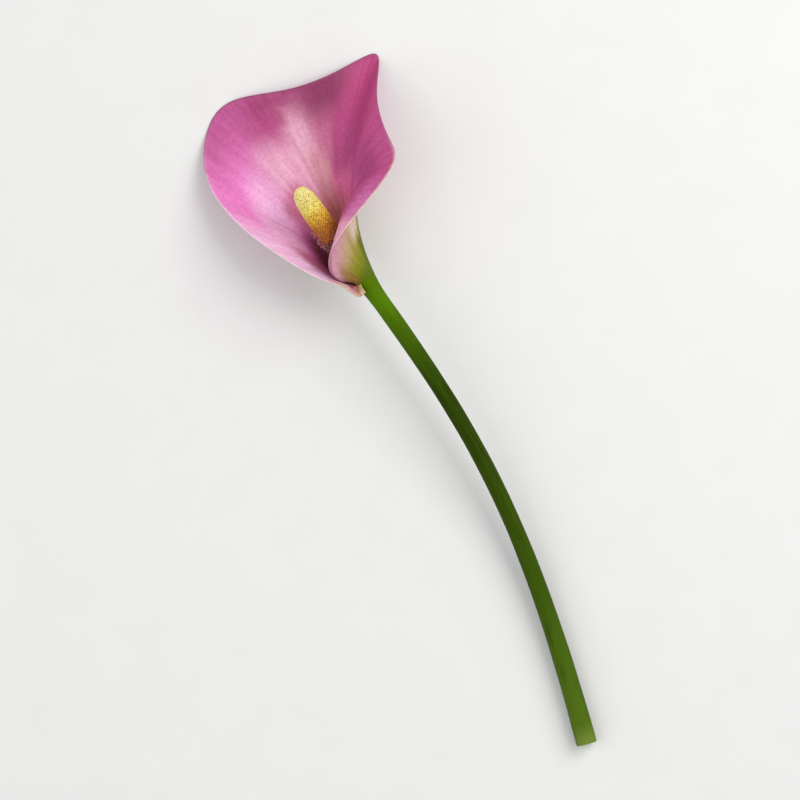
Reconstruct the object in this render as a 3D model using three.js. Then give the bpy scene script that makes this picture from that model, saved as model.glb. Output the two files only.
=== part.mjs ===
// Arum lily flower, picked and laid down on a flat surface. Millimetres, +Z up.
//
// Four pieces grow into one another on the real flower: the round stem, the spathe (one rolled bract
// that makes the throat and the hood), and the spadix inside it, with its seed-bearing florets below
// and its pollen-bearing florets above. Each is one closed solid here, with a hair of air at the joins.
//
// The origin lies under the middle of the whole flower, on the surface. Seen from above with +Y up the
// page, the flower's axis leans to the left and the stem runs down to the right.

import * as THREE from "three";

// ---- place and pose ----
const NECK = new THREE.Vector3(-15.58, 54.43, 22);  // middle of the neck, where stem and spathe meet
const LEAN = THREE.MathUtils.degToRad(32);          // the axis leans this far from +Y towards -X
const BEND = THREE.MathUtils.degToRad(4);           // the top of the stem leans this much more
const JOIN_GAP = 0.3;                               // air between pieces that touch
const PRESSED_FLAT = 0.25;                          // how far a low spot is pressed into the surface

// ---- stem ----
const STEM_FOOT = [101.4, -212.4];                  // middle of the cut end, x and y from the neck
const STEM_FOOT_HEADING = [-0.261, 0.965];          // direction of the stem where it was cut
const STEM_FOOT_PULL = 114;                         // how far the stem keeps that heading
const STEM_NECK_PULL = 79;                          // how far it keeps its lean at the neck
const STEM_FOOT_RADIUS = 4.8;
const STEM_PROFILE = [[0, STEM_FOOT_RADIUS], [60, 4.2], [110, 3.85], [150, 3.8], [184, 3.82], [206, 3.95],
  [240, 3.98]];                                     // length from the cut end, radius
const STEM_SIDES = 24;
const STEM_RINGS = 34;
const CUT_BEVEL = 0.3;
const COLLAR = [[14, 3.97], [8.5, 4.12], [4.5, 4.45], [1.8, 4.85], [JOIN_GAP, 5.0]];   // below neck, radius
const PEG_RADIUS = 3.35;                            // the stem's core, inside the foot of the spathe
const PEG_TOP = 1.7;

// ---- spathe ----
const WALL_AT_NECK = 1.25;
const WALL_AT_RIM = 0.75;
const NET_ROWS = 10;                                // control points along each vein
const STEPS_PER_VEIN = 3;                           // facets from one vein to the next
const STEPS_UP = 20;                                // facets from the neck to the rim

// The veins fan out from a spiral at the neck to the rim, from the left margin round to the right one.
// Each is one cubic curve. Angles go round the axis, 0 to the right and 90 towards the viewer; places
// are [up the axis, to the right, towards the viewer].
//   angle, radius at the neck | first pull: up, outward | last pull, from the rim | place on the rim
const VEINS = [
  [118, 6.0,  -1.5, 0.5,    1.5,  -0.4,   0.3,    -4.4,  -2.7,   5.6],   // curled foot of the left margin
  [137, 6.0,  -0.9, 1.5,    2.3,   1.4,  -1.7,    -5.8,  -7.6,   5.0],
  [157, 5.9,   1.6, 2.2,    0.6,   2.0,  -3.6,     3.7,  -9.6,   7.6],
  [180, 5.7,   6.0, 3.8,   -3.0,   5.5,  -5.5,    12.0, -19.0,  10.2],
  [203, 5.55, 14.0, 4.0,  -13.0,  13.0,  -8.0,    39.0, -31.5,   5.5],
  [226, 5.4,  18.0, 4.5,  -20.0,  16.0, -10.0,    55.5, -37.1,  -2.5],
  [243, 5.3,  22.0, 5.0,  -30.0,  17.0,  -6.5,    79.0, -39.9, -13.5],
  [259, 5.2,  26.0, 5.0,  -34.0,  12.0,  -1.0,    97.8, -27.3, -22.6],   // left lobe
  [275, 5.1,  28.0, 5.0,  -36.0,   6.0,   2.0,   107.4, -10.6, -22.4],
  [291, 5.0,  28.0, 5.0,  -34.0,  -6.0,  -3.0,    92.3,  15.8, -15.0],
  [307, 4.9,  26.0, 4.0,  -31.0, -24.0,   4.5,    88.1,  42.3, -15.5],
  [323, 4.8,  25.0, 3.5,  -30.0, -42.0,  26.0,    89.0,  66.8, -30.0],   // tip
  [340, 4.7,  24.0, 3.0,  -25.0, -34.0,  18.0,    72.5,  48.4,  -5.0],
  [358, 4.6,  21.0, 2.5,   -4.0, -33.5,   8.0,    49.7,  42.6,   9.0],
  [377, 4.5,  19.0, 2.5,    9.5, -38.0,  -9.0,    38.9,  44.4,  19.0],   // corner of the right lobe
  [399, 4.5,  13.6, 2.3,   17.0, -22.0,  -7.5,    31.4,  24.3,  17.5],
  [424, 4.5,   7.0, 4.5,   12.0,  -8.5,  -8.0,    25.6,   5.8,  17.2],
  [452, 4.5,   6.5, 2.9,    0.5,  -1.0,  -6.5,    20.2,  -7.5,  13.9],   // lip of the throat
  [482, 4.4,   5.0, 3.0,   -2.2,   3.5,  -2.5,    11.0, -13.5,   8.2],
  [512, 4.4,   3.0, 1.5,   -2.0,   2.0,   1.0,     5.3,  -9.0,   4.8],
];

// ---- spadix ----
const SPADIX_PATH = [[2, -0.14, 0], [5, -0.35, 0], [11, -1.3, 0.3], [18, -2.3, 0.8], [28, -2.8, 1.6],
  [52.7, -4.1, 4]];
const PISTILS_TOP = 21.6;                           // measured along the spadix, as are the profiles
const PISTIL_PROFILE = [[0, 2.9], [0.6, 3.3], [4, 3.7], [9, 4.3], [15, 4.8], [19, 5.0], [20.8, 4.8],
  [PISTILS_TOP, 3.6]];
const PISTIL_RELIEF = 0.75;
const PISTIL_SIDES = 24;                            // a multiple of three, so that the florets close up
const STAMEN_PROFILE = [[PISTILS_TOP + JOIN_GAP, 3.8], [22.8, 4.7], [27, 4.9], [37, 4.95], [42, 4.7],
  [45.5, 4.2], [48, 3.4], [49.6, 2.2], [50.3, 1.0]];
const STAMEN_RELIEF = 0.4;
const STAMEN_SIDES = 36;

// ---- directions of the flower ----
const AXIS = new THREE.Vector3(-Math.sin(LEAN), Math.cos(LEAN), 0);
const RIGHT = new THREE.Vector3(Math.cos(LEAN), Math.sin(LEAN), 0);
const UP = new THREE.Vector3(0, 0, 1);
const STEM_AXIS = new THREE.Vector3(-Math.sin(LEAN + BEND), Math.cos(LEAN + BEND), 0);

/** A point given up the axis, to the right and towards the viewer, from the middle of the neck. */
function place(along, right, up) {
  return NECK.clone().addScaledVector(AXIS, along).addScaledVector(RIGHT, right).addScaledVector(UP, up);
}

/** A closed geometry from shared points and triangles. Nothing reaches below the surface. */
function closedGeometry(points, triangles) {
  const geometry = new THREE.BufferGeometry();
  const rested = points.map((p) => new THREE.Vector3(p.x, p.y, Math.max(p.z, 0)));
  geometry.setFromPoints(rested);
  geometry.setIndex(triangles.flat());
  geometry.computeVertexNormals();
  return geometry;
}

// ---- round pieces: rings of points along a curve, with a lid at each end ----

/** Point and directions at a length along a curve, and straight on past its end. */
function stationOn(curve, length) {
  const whole = curve.getLength();
  const u = THREE.MathUtils.clamp(length / whole, 0, 1);
  const ahead = curve.getTangentAt(u);
  const middle = curve.getPointAt(u).addScaledVector(ahead, length - u * whole);
  const side = new THREE.Vector3().crossVectors(ahead, UP).normalize();
  return { middle, side, top: new THREE.Vector3().crossVectors(ahead, side) };
}

/** Radius of a profile of [length, radius] pairs at one length, straight from pair to pair. */
function radiusAt(profile, length) {
  const next = Math.max(1, profile.findIndex(([at]) => at >= length));
  const [from, fromRadius] = profile[next - 1];
  const [to, toRadius] = profile[next];
  return THREE.MathUtils.lerp(fromRadius, toRadius, (length - from) / (to - from));
}

/**
 * A solid of rings. Each ring is { length, radius(i) }. A staggered solid turns every other ring by
 * half a step, so its points make a net of even triangles.
 */
function ringSolid(curve, rings, sides, staggered) {
  const points = [];
  const triangles = [];
  const at = (ring, i) => ring * sides + ((i + sides) % sides);
  rings.forEach(({ length, radius }, ring) => {
    const { middle, side, top } = stationOn(curve, length);
    const shift = staggered ? (ring % 2) / 2 : 0;
    for (let i = 0; i < sides; i++) {
      const angle = ((i + shift) / sides) * 2 * Math.PI;
      const out = side.clone().multiplyScalar(Math.cos(angle)).addScaledVector(top, Math.sin(angle));
      points.push(middle.clone().addScaledVector(out, radius(i)));
    }
  });
  for (let ring = 0; ring < rings.length - 1; ring++) {
    const lean = staggered && ring % 2 ? 1 : 0;
    for (let i = 0; i < sides; i++) {
      triangles.push([at(ring, i), at(ring, i + 1), at(ring + 1, i + lean)]);
      triangles.push([at(ring, i + 1 - lean), at(ring + 1, i + 1), at(ring + 1, i)]);
    }
  }
  const last = rings.length - 1;
  const foot = points.push(stationOn(curve, rings[0].length).middle) - 1;
  const head = points.push(stationOn(curve, rings[last].length).middle) - 1;
  for (let i = 0; i < sides; i++) {
    triangles.push([foot, at(0, i + 1), at(0, i)]);
    triangles.push([head, at(last, i), at(last, i + 1)]);
  }
  return closedGeometry(points, triangles);
}

// ---- stem: lies on the surface at its cut end and rises to the neck ----

function stemGeometry() {
  const footHeight = STEM_FOOT_RADIUS - PRESSED_FLAT;
  const foot = new THREE.Vector3(NECK.x + STEM_FOOT[0], NECK.y + STEM_FOOT[1], footHeight);
  const heading = new THREE.Vector3(...STEM_FOOT_HEADING, 0).normalize();
  const curve = new THREE.CubicBezierCurve3(
    foot,
    foot.clone().addScaledVector(heading, STEM_FOOT_PULL),
    NECK.clone().addScaledVector(STEM_AXIS, -STEM_NECK_PULL),
    NECK,
  );
  const length = curve.getLength();
  const plainLength = length - COLLAR[0][0];
  const round = (at, radius) => ({ length: at, radius: () => radius });
  const rings = [round(0, STEM_FOOT_RADIUS - CUT_BEVEL), round(CUT_BEVEL, STEM_FOOT_RADIUS)];
  for (let k = 1; k <= STEM_RINGS; k++) {
    const at = THREE.MathUtils.lerp(CUT_BEVEL, plainLength, k / (STEM_RINGS + 1));
    rings.push(round(at, radiusAt(STEM_PROFILE, at)));
  }
  for (const [below, radius] of COLLAR) {
    rings.push(round(length - below, radius));
  }
  rings.push(round(length - JOIN_GAP, PEG_RADIUS));
  rings.push(round(length + PEG_TOP, PEG_RADIUS));
  return ringSolid(curve, rings, STEM_SIDES, false);
}

// ---- spathe: a smooth sheet over the net of veins, given a wall ----

/** The control net: NET_ROWS points along each vein, from the neck to the rim. */
function veinNet() {
  return VEINS.map(([angle, radius, pullUp, pullOut, backUp, backRight, backOut, along, right, up]) => {
    const turn = THREE.MathUtils.degToRad(angle);
    const [c, s] = [Math.cos(turn), Math.sin(turn)];
    const vein = new THREE.CubicBezierCurve3(
      place(radius * c * Math.tan(BEND), radius * c, radius * s),
      place(pullUp, (radius + pullOut) * c, (radius + pullOut) * s),
      place(along + backUp, right + backRight, up + backOut),
      place(along, right, up),
    );
    return vein.getPoints(NET_ROWS - 1);
  });
}

/** A row of points with one more at each end, so that a spline through the row meets its ends. */
function withEnds(row, mirror) {
  return [mirror(row[0], row[1]), ...row, mirror(row[row.length - 1], row[row.length - 2])];
}

/** The four weights of a uniform cubic B-spline. */
function splineWeights(x) {
  const y = 1 - x;
  return [y ** 3, 3 * x ** 3 - 6 * x * x + 4, 3 * y ** 3 - 6 * y * y + 4, x ** 3].map((w) => w / 6);
}

/** Points of the smooth sheet: one row of them for each step across the veins. */
function sheetPoints() {
  const mirrorPoint = (end, inner) => end.clone().multiplyScalar(2).sub(inner);
  const mirrorVein = (end, inner) => end.map((p, k) => mirrorPoint(p, inner[k]));
  const net = withEnds(veinNet(), mirrorVein).map((vein) => withEnds(vein, mirrorPoint));
  const acrossSteps = (VEINS.length - 1) * STEPS_PER_VEIN;
  const sheet = [];
  for (let i = 0; i <= acrossSteps; i++) {
    const across = (i / acrossSteps) * (VEINS.length - 1);
    const vein = Math.min(Math.floor(across), VEINS.length - 2);
    const acrossWeights = splineWeights(across - vein);
    const row = [];
    for (let j = 0; j <= STEPS_UP; j++) {
      const rise = (j / STEPS_UP) * (NET_ROWS - 1);
      const level = Math.min(Math.floor(rise), NET_ROWS - 2);
      const riseWeights = splineWeights(rise - level);
      const point = new THREE.Vector3();
      acrossWeights.forEach((wa, a) => riseWeights.forEach((wr, b) => {
        point.addScaledVector(net[vein + a][level + b], wa * wr);
      }));
      row.push(point);
    }
    sheet.push(row);
  }
  return sheet;
}

function spatheGeometry() {
  const sheet = sheetPoints();
  const across = sheet.length;
  const high = STEPS_UP + 1;
  const halfWall = (j) => THREE.MathUtils.lerp(WALL_AT_NECK, WALL_AT_RIM, j / STEPS_UP) / 2;
  for (const row of sheet) {
    row.forEach((p, j) => p.setZ(Math.max(p.z, halfWall(j))));
  }

  const points = [];
  const inner = (i, j) => 2 * (i * high + j);
  const outer = (i, j) => inner(i, j) + 1;
  for (let i = 0; i < across; i++) {
    for (let j = 0; j < high; j++) {
      const alongRim = sheet[Math.min(i + 1, across - 1)][j].clone().sub(sheet[Math.max(i - 1, 0)][j]);
      const alongVein = sheet[i][Math.min(j + 1, high - 1)].clone().sub(sheet[i][Math.max(j - 1, 0)]);
      const inward = alongRim.cross(alongVein).normalize();
      const standsUp = Math.abs(inward.dot(STEM_AXIS)) < 0.6;
      if (j === 0 && standsUp) inward.projectOnPlane(STEM_AXIS).normalize();
      points.push(sheet[i][j].clone().addScaledVector(inward, halfWall(j)));
      points.push(sheet[i][j].clone().addScaledVector(inward, -halfWall(j)));
    }
  }

  const triangles = [];
  for (let i = 0; i < across - 1; i++) {
    for (let j = 0; j < high - 1; j++) {
      const [a, b, c, d] = [[i, j], [i + 1, j], [i + 1, j + 1], [i, j + 1]];
      const fallsRight = sheet[i][j].distanceTo(sheet[i + 1][j + 1])
        < sheet[i + 1][j].distanceTo(sheet[i][j + 1]);
      for (const [p, q, r] of fallsRight ? [[a, b, c], [a, c, d]] : [[a, b, d], [b, c, d]]) {
        triangles.push([inner(...p), inner(...q), inner(...r)]);
        triangles.push([outer(...p), outer(...r), outer(...q)]);
      }
    }
  }
  const border = [];
  for (let i = 0; i < across - 1; i++) {
    border.push([i, 0]);
  }
  for (let j = 0; j < high - 1; j++) {
    border.push([across - 1, j]);
  }
  for (let i = across - 1; i > 0; i--) {
    border.push([i, high - 1]);
  }
  for (let j = high - 1; j > 0; j--) {
    border.push([0, j]);
  }
  border.forEach((a, k) => {
    const b = border[(k + 1) % border.length];
    triangles.push([inner(...a), outer(...a), outer(...b)]);
    triangles.push([inner(...a), outer(...b), inner(...b)]);
  });
  return closedGeometry(points, triangles);
}

// ---- spadix: florets stand out as every third point of a net of even triangles ----

function floretGeometry(profile, sides, relief) {
  const curve = new THREE.CatmullRomCurve3(SPADIX_PATH.map((p) => place(...p)));
  const [start, end] = [profile[0][0], profile[profile.length - 1][0]];
  const widest = Math.max(...profile.map(([, radius]) => radius));
  const ringStep = (widest * 2 * Math.PI / sides) * Math.sin(Math.PI / 3);
  const count = Math.round((end - start) / ringStep);
  const rings = [];
  for (let ring = 0; ring <= count; ring++) {
    const length = THREE.MathUtils.lerp(start, end, ring / count);
    const plain = radiusAt(profile, length);
    const isLid = ring === 0 || ring === count;
    const raised = (i) => !isLid && (i - Math.floor(ring / 2) - ring + 3 * sides) % 3 === 0;
    rings.push({ length, radius: (i) => plain + (raised(i) ? relief * plain / widest : 0) });
  }
  return ringSolid(curve, rings, sides, true);
}

// ---- assembly ----

const flower = new THREE.Group();

function addPiece(name, geometry, color, roughness) {
  const piece = new THREE.Mesh(geometry, new THREE.MeshStandardMaterial({ color, roughness, metalness: 0 }));
  piece.name = name;
  flower.add(piece);
}

addPiece("stem", stemGeometry(), 0x4b7a10, 0.45);
addPiece("spathe", spatheGeometry(), 0xc873a6, 0.5);
addPiece("spadix_pistils", floretGeometry(PISTIL_PROFILE, PISTIL_SIDES, PISTIL_RELIEF), 0xb98a86, 0.6);
addPiece("spadix_stamens", floretGeometry(STAMEN_PROFILE, STAMEN_SIDES, STAMEN_RELIEF), 0xe0b23a, 0.7);

export default flower;
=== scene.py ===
# %% [markdown]
# # An arum lily flower, picked and laid down
#
# An arum lily "flower" is really a whole group of flowers. The coloured hood is one petal-like sheet,
# the spathe, rolled round a finger of hundreds of tiny flowers, the spadix, and both stand on one long
# round stem. This lesson dresses a measured model of such a flower. Each of its solids is replaced by a
# finer piece of the same form, which carries the colour, the veins and the bloom of the living thing.

# %% Load the measured frame
import math
import random

import bpy
from mathutils import Matrix, Vector
from mathutils.geometry import interpolate_bezier


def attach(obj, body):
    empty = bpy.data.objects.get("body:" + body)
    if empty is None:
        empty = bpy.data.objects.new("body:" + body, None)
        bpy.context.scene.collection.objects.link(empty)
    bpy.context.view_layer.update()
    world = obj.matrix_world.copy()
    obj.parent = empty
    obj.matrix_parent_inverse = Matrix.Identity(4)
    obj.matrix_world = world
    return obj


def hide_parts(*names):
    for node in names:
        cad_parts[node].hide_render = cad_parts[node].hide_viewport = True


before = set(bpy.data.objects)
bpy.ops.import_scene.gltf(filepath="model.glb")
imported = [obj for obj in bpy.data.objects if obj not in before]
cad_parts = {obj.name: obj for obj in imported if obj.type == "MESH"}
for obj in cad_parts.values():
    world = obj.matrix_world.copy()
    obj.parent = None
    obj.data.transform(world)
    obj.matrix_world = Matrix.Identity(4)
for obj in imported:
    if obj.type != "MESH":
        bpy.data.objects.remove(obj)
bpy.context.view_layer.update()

MM = 0.001
print("solids:", sorted(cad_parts))

# %% [markdown]
# ## Directions of the flower
#
# Everything is measured from the middle of the neck, the place where the stem ends and the spathe
# begins. The flower's own axis leans to the left. One small function turns "so far up the axis, so far
# to the right, so far towards the viewer" into a place in the scene.

# %% Places and directions
NECK = Vector((-15.58, 54.43, 22)) * MM
LEAN = math.radians(32)
BEND = math.radians(4)
AXIS = Vector((-math.sin(LEAN), math.cos(LEAN), 0))
RIGHT = Vector((math.cos(LEAN), math.sin(LEAN), 0))
UP = Vector((0, 0, 1))
STEM_AXIS = Vector((-math.sin(LEAN + BEND), math.cos(LEAN + BEND), 0))


def place(along, right, up):
    """A place given in millimetres up the axis, to the right and towards the viewer."""
    return NECK + (AXIS * along + RIGHT * right + UP * up) * MM


print("neck at, mm:", [round(c / MM, 2) for c in NECK])

# %% [markdown]
# ## The camera, the floor and the light
#
# The flower lies down, so the camera looks straight down on it, and the page's up is the room's +Y. A
# long lens far away keeps the flower's proportions true. The light is a large soft lamp at the upper
# right, a weaker one at the left and an even white light all round, over a plain pale floor.

# %% Camera and floor
# the lens in millimetres, the height and the floor in metres
CAMERA_LENS = 400
CAMERA_HEIGHT = 4.086
FLOOR_SIZE = 12


def clear_selection():
    """Nothing stays selected, so the next operator acts only on what it makes."""
    bpy.ops.object.select_all(action="DESELECT")


camera_data = bpy.data.cameras.new("camera")
camera_data.lens = CAMERA_LENS
camera = bpy.data.objects.new("camera", camera_data)
camera.location = (0, 0, CAMERA_HEIGHT)
bpy.context.scene.collection.objects.link(camera)
bpy.context.scene.camera = camera
bpy.context.scene.view_settings.view_transform = "Standard"

clear_selection()
bpy.ops.mesh.primitive_plane_add(size=FLOOR_SIZE, location=(0, 0, 0))
floor = bpy.context.object
floor.name = "floor"
print("camera at", CAMERA_HEIGHT, "m over a floor of", FLOOR_SIZE, "m")

# %% Lamps and the light all round
LIGHT_AIM = Vector((0, 0.03, 0.01))
EVEN_LIGHT = 0.54


def add_lamp(name, place_m, size_m, power, colour):
    """A square soft lamp that shines on the middle of the flower."""
    clear_selection()
    bpy.ops.object.light_add(type="AREA", location=place_m)
    lamp = bpy.context.object
    lamp.name = name
    lamp.data.size = size_m
    lamp.data.energy = power
    lamp.data.color = colour
    lamp.rotation_euler = (LIGHT_AIM - Vector(place_m)).to_track_quat("-Z", "Y").to_euler()


add_lamp("key_lamp", place_m=(0.75, 0.55, 0.95), size_m=0.9, power=8.4, colour=(1.0, 0.985, 0.96))
add_lamp("fill_lamp", place_m=(-1.0, -0.3, 1.1), size_m=1.4, power=4.8, colour=(0.96, 0.98, 1.0))
world = bpy.data.worlds.new("studio")
world.use_nodes = True
background = world.node_tree.nodes["Background"]
background.inputs["Color"].default_value = (1, 1, 1, 1)
background.inputs["Strength"].default_value = EVEN_LIGHT
bpy.context.scene.world = world

# %% [markdown]
# ## Small tools for the finishes
#
# A living surface is never one flat colour. Each finish below is built from a few shader nodes: masks
# that say where a tint belongs, noise that breaks it up, and a bump that gives the fine relief. These
# helpers keep that readable. A value may be a plain number or the output of another node.

# %% Helpers for values
def srgb(red, green, blue):
    """A colour as a painter would read it off a screen, from 0 to 255, made linear for the shader."""
    def linear(value):
        value /= 255
        return value / 12.92 if value <= 0.04045 else ((value + 0.055) / 1.055) ** 2.4
    return (linear(red), linear(green), linear(blue), 1)


def wire(tree, value, socket):
    """Joins a node's output to a socket, or sets the socket to a plain value."""
    if isinstance(value, bpy.types.NodeSocket):
        tree.links.new(value, socket)
    else:
        socket.default_value = value


def calc(tree, operation, first, second=0.0, third=0.0):
    """One step of arithmetic."""
    node = tree.nodes.new("ShaderNodeMath")
    node.operation = operation
    for value, socket in zip((first, second, third), node.inputs):
        wire(tree, value, socket)
    return node.outputs[0]


def soft_step(tree, value, low, high):
    """0 below low, 1 above high, and a smooth rise between. Works downwards too."""
    node = tree.nodes.new("ShaderNodeMapRange")
    node.interpolation_type = "SMOOTHSTEP"
    wire(tree, value, node.inputs["Value"])
    for name, number in zip(("From Min", "From Max", "To Min", "To Max"), (low, high, 0, 1)):
        node.inputs[name].default_value = number
    return node.outputs["Result"]


def band(tree, value, middle, core, reach):
    """1 on a stripe round the middle value, fading to 0 at its reach."""
    away = calc(tree, "ABSOLUTE", calc(tree, "SUBTRACT", value, middle))
    return calc(tree, "SUBTRACT", 1.0, soft_step(tree, away, core, reach))


print("helpers for values are ready")


# %% Helpers for colour and relief
NOISE_ROUGHNESS = 0.55


def tint(tree, share, under, over, how="MIX"):
    """Lays one colour over another by a share."""
    node = tree.nodes.new("ShaderNodeMix")
    node.data_type = "RGBA"
    node.blend_type = how
    wire(tree, share, node.inputs[0])
    wire(tree, under, node.inputs[6])
    wire(tree, over, node.inputs[7])
    return node.outputs[2]


def colour_ramp(tree, value, stops):
    """A colour for each value, from a list of (position, colour)."""
    node = tree.nodes.new("ShaderNodeValToRGB")
    wire(tree, value, node.inputs[0])
    elements = node.color_ramp.elements
    while len(elements) < len(stops):
        elements.new(0.5)
    for element, (position, colour) in zip(elements, stops):
        element.position = position
        element.color = colour
    return node.outputs["Color"]


def noise(tree, where, scale, detail=3.0):
    """Soft cloudy noise around 0.5."""
    node = tree.nodes.new("ShaderNodeTexNoise")
    wire(tree, where, node.inputs["Vector"])
    node.inputs["Scale"].default_value = scale
    node.inputs["Detail"].default_value = detail
    node.inputs["Roughness"].default_value = NOISE_ROUGHNESS
    return node.outputs[0]


def stretched(tree, x, y, z=0.0):
    """A place made of three values, for patterns that run one way."""
    node = tree.nodes.new("ShaderNodeCombineXYZ")
    for value, socket in zip((x, y, z), node.inputs):
        wire(tree, value, socket)
    return node.outputs[0]


def bump(tree, height, depth_m, strength=0.5):
    """Fine relief from a height between 0 and 1."""
    node = tree.nodes.new("ShaderNodeBump")
    node.inputs["Strength"].default_value = strength
    node.inputs["Distance"].default_value = depth_m
    wire(tree, height, node.inputs["Height"])
    return node.outputs[0]


def new_finish(name, roughness):
    """A material with its tree and its shader."""
    material = bpy.data.materials.new(name)
    material.use_nodes = True
    shader = material.node_tree.nodes["Principled BSDF"]
    shader.inputs["Roughness"].default_value = roughness
    return material, material.node_tree, shader


def object_place(tree):
    """The place on the piece, in metres."""
    return tree.nodes.new("ShaderNodeTexCoord").outputs["Object"]


finish_floor, tree, shader = new_finish("pale_floor", 0.85)
grain = noise(tree, object_place(tree), 40)
wire(tree, tint(tree, grain, srgb(243, 243, 242), srgb(248, 248, 247)), shader.inputs["Base Color"])
floor.data.materials.append(finish_floor)
print("helpers for colour and relief are ready, and the floor is finished")

# %% [markdown]
# ## The spathe: a fan of veins
#
# The spathe starts as a tight roll at the neck and opens into the hood. Its veins fan out from the roll
# to the rim, so they are the natural way to draw it: each vein is one smooth curve from a small spiral
# at the neck to its place on the rim. Sculpting could give such a sheet too, but curves can be measured
# and changed one at a time. The twenty veins below go from the left margin round to the right one.

# %% The veins of the spathe
# in degrees and millimetres:
# angle, radius at the neck | first pull: up, outward | last pull, from the rim | place on the rim
VEINS = [
    (118, 6.0, -1.5, 0.5, 1.5, -0.4, 0.3, -4.4, -2.7, 5.6),        # curled foot of the left margin
    (137, 6.0, -0.9, 1.5, 2.3, 1.4, -1.7, -5.8, -7.6, 5.0),
    (157, 5.9, 1.6, 2.2, 0.6, 2.0, -3.6, 3.7, -9.6, 7.6),
    (180, 5.7, 6.0, 3.8, -3.0, 5.5, -5.5, 12.0, -19.0, 10.2),
    (203, 5.55, 14.0, 4.0, -13.0, 13.0, -8.0, 39.0, -31.5, 5.5),
    (226, 5.4, 18.0, 4.5, -20.0, 16.0, -10.0, 55.5, -37.1, -2.5),
    (243, 5.3, 22.0, 5.0, -30.0, 17.0, -6.5, 79.0, -39.9, -13.5),
    (259, 5.2, 26.0, 5.0, -34.0, 12.0, -1.0, 97.8, -27.3, -22.6),  # left lobe
    (275, 5.1, 28.0, 5.0, -36.0, 6.0, 2.0, 107.4, -10.6, -22.4),
    (291, 5.0, 28.0, 5.0, -34.0, -6.0, -3.0, 92.3, 15.8, -15.0),
    (307, 4.9, 26.0, 4.0, -31.0, -24.0, 4.5, 88.1, 42.3, -15.5),
    (323, 4.8, 25.0, 3.5, -30.0, -42.0, 26.0, 89.0, 66.8, -30.0),  # tip
    (340, 4.7, 24.0, 3.0, -25.0, -34.0, 18.0, 72.5, 48.4, -5.0),
    (358, 4.6, 21.0, 2.5, -4.0, -33.5, 8.0, 49.7, 42.6, 9.0),
    (377, 4.5, 19.0, 2.5, 9.5, -38.0, -9.0, 38.9, 44.4, 19.0),     # corner of the right lobe
    (399, 4.5, 13.6, 2.3, 17.0, -22.0, -7.5, 31.4, 24.3, 17.5),
    (424, 4.5, 7.0, 4.5, 12.0, -8.5, -8.0, 25.6, 5.8, 17.2),
    (452, 4.5, 6.5, 2.9, 0.5, -1.0, -6.5, 20.2, -7.5, 13.9),       # lip of the throat
    (482, 4.4, 5.0, 3.0, -2.2, 3.5, -2.5, 11.0, -13.5, 8.2),
    (512, 4.4, 3.0, 1.5, -2.0, 2.0, 1.0, 5.3, -9.0, 4.8),
]
NET_ROWS = 10


def vein_points(angle, radius, pull_up, pull_out, back_up, back_right, back_out, along, right, up):
    """The points of one vein, in even steps of its curve from the neck to the rim."""
    turn = math.radians(angle)
    away = radius + pull_out
    return interpolate_bezier(
        place(radius * math.cos(turn) * math.tan(BEND), radius * math.cos(turn), radius * math.sin(turn)),
        place(pull_up, away * math.cos(turn), away * math.sin(turn)),
        place(along + back_up, right + back_right, up + back_out),
        place(along, right, up),
        NET_ROWS,
    )


net = [vein_points(*vein) for vein in VEINS]
print(len(net), "veins of", NET_ROWS, "points")

# %% [markdown]
# ## The spathe: from net to living sheet
#
# A flat grid has exactly the right bones: one column for each vein, one row for each step outwards. Its
# points are moved onto the veins in code, because no hand operator places two hundred points exactly.
# Subdivision then smooths the net, Solidify gives the sheet its thickness, thin at the rim and fleshy at
# the neck, and one more subdivision rounds the cut-looking edge of the margin.

# %% The smooth sheet
WALL_AT_NECK = 1.25 * MM
WALL_AT_RIM = 0.75 * MM
SMOOTHING = 3


def apply_modifier(piece, kind, **settings):
    """Adds a modifier with its settings and makes it part of the mesh."""
    modifier = piece.modifiers.new(kind.lower(), kind)
    for name, value in settings.items():
        setattr(modifier, name, value)
    clear_selection()
    piece.select_set(True)
    bpy.context.view_layer.objects.active = piece
    bpy.ops.object.modifier_apply(modifier=modifier.name)


clear_selection()
bpy.ops.mesh.primitive_grid_add(x_subdivisions=len(VEINS) - 1, y_subdivisions=NET_ROWS - 1, size=1)
spathe = bpy.context.object
spathe.name = "spathe_petal"
spathe.data.uv_layers.active.name = "sheet"
for vertex in spathe.data.vertices:
    column = round((vertex.co.x + 0.5) * (len(VEINS) - 1))
    row = round((vertex.co.y + 0.5) * (NET_ROWS - 1))
    vertex.co = net[column][row]
apply_modifier(spathe, "SUBSURF", levels=SMOOTHING, render_levels=SMOOTHING,
               boundary_smooth="PRESERVE_CORNERS", uv_smooth="NONE")


def sheet_places(piece):
    """For each vertex, its place on the sheet: across the veins and up them, both from 0 to 1."""
    uvs = piece.data.uv_layers["sheet"].data
    places = {}
    for loop in piece.data.loops:
        places[loop.vertex_index] = uvs[loop.index].uv
    return places


places = sheet_places(spathe)
fleshy = spathe.vertex_groups.new(name="fleshy")
for vertex in spathe.data.vertices:
    up_vein = places[vertex.index].y
    fleshy.add([vertex.index], 1 - up_vein, "REPLACE")
    half_wall = (WALL_AT_NECK + (WALL_AT_RIM - WALL_AT_NECK) * up_vein) / 2
    vertex.co.z = max(vertex.co.z, half_wall)
print("sheet:", len(spathe.data.vertices), "points")

# %% [markdown]
# Fine ridges run along the veins of a real spathe, and the hood is never perfectly even. A gentle
# relief of up to a quarter of a millimetre is pushed into the sheet along its normals before it gets
# its thickness. It fades out at the neck and at the rim, so the outline stays as measured. One sine
# inside another makes the ridges crowd together and part again, as grown ones do.

# %% Soft ridges along the veins
WIDE_RIDGE = 0.16
NARROW_RIDGE = 0.07
CLEAR_OF_SURFACE = 1.5 * MM


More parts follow.
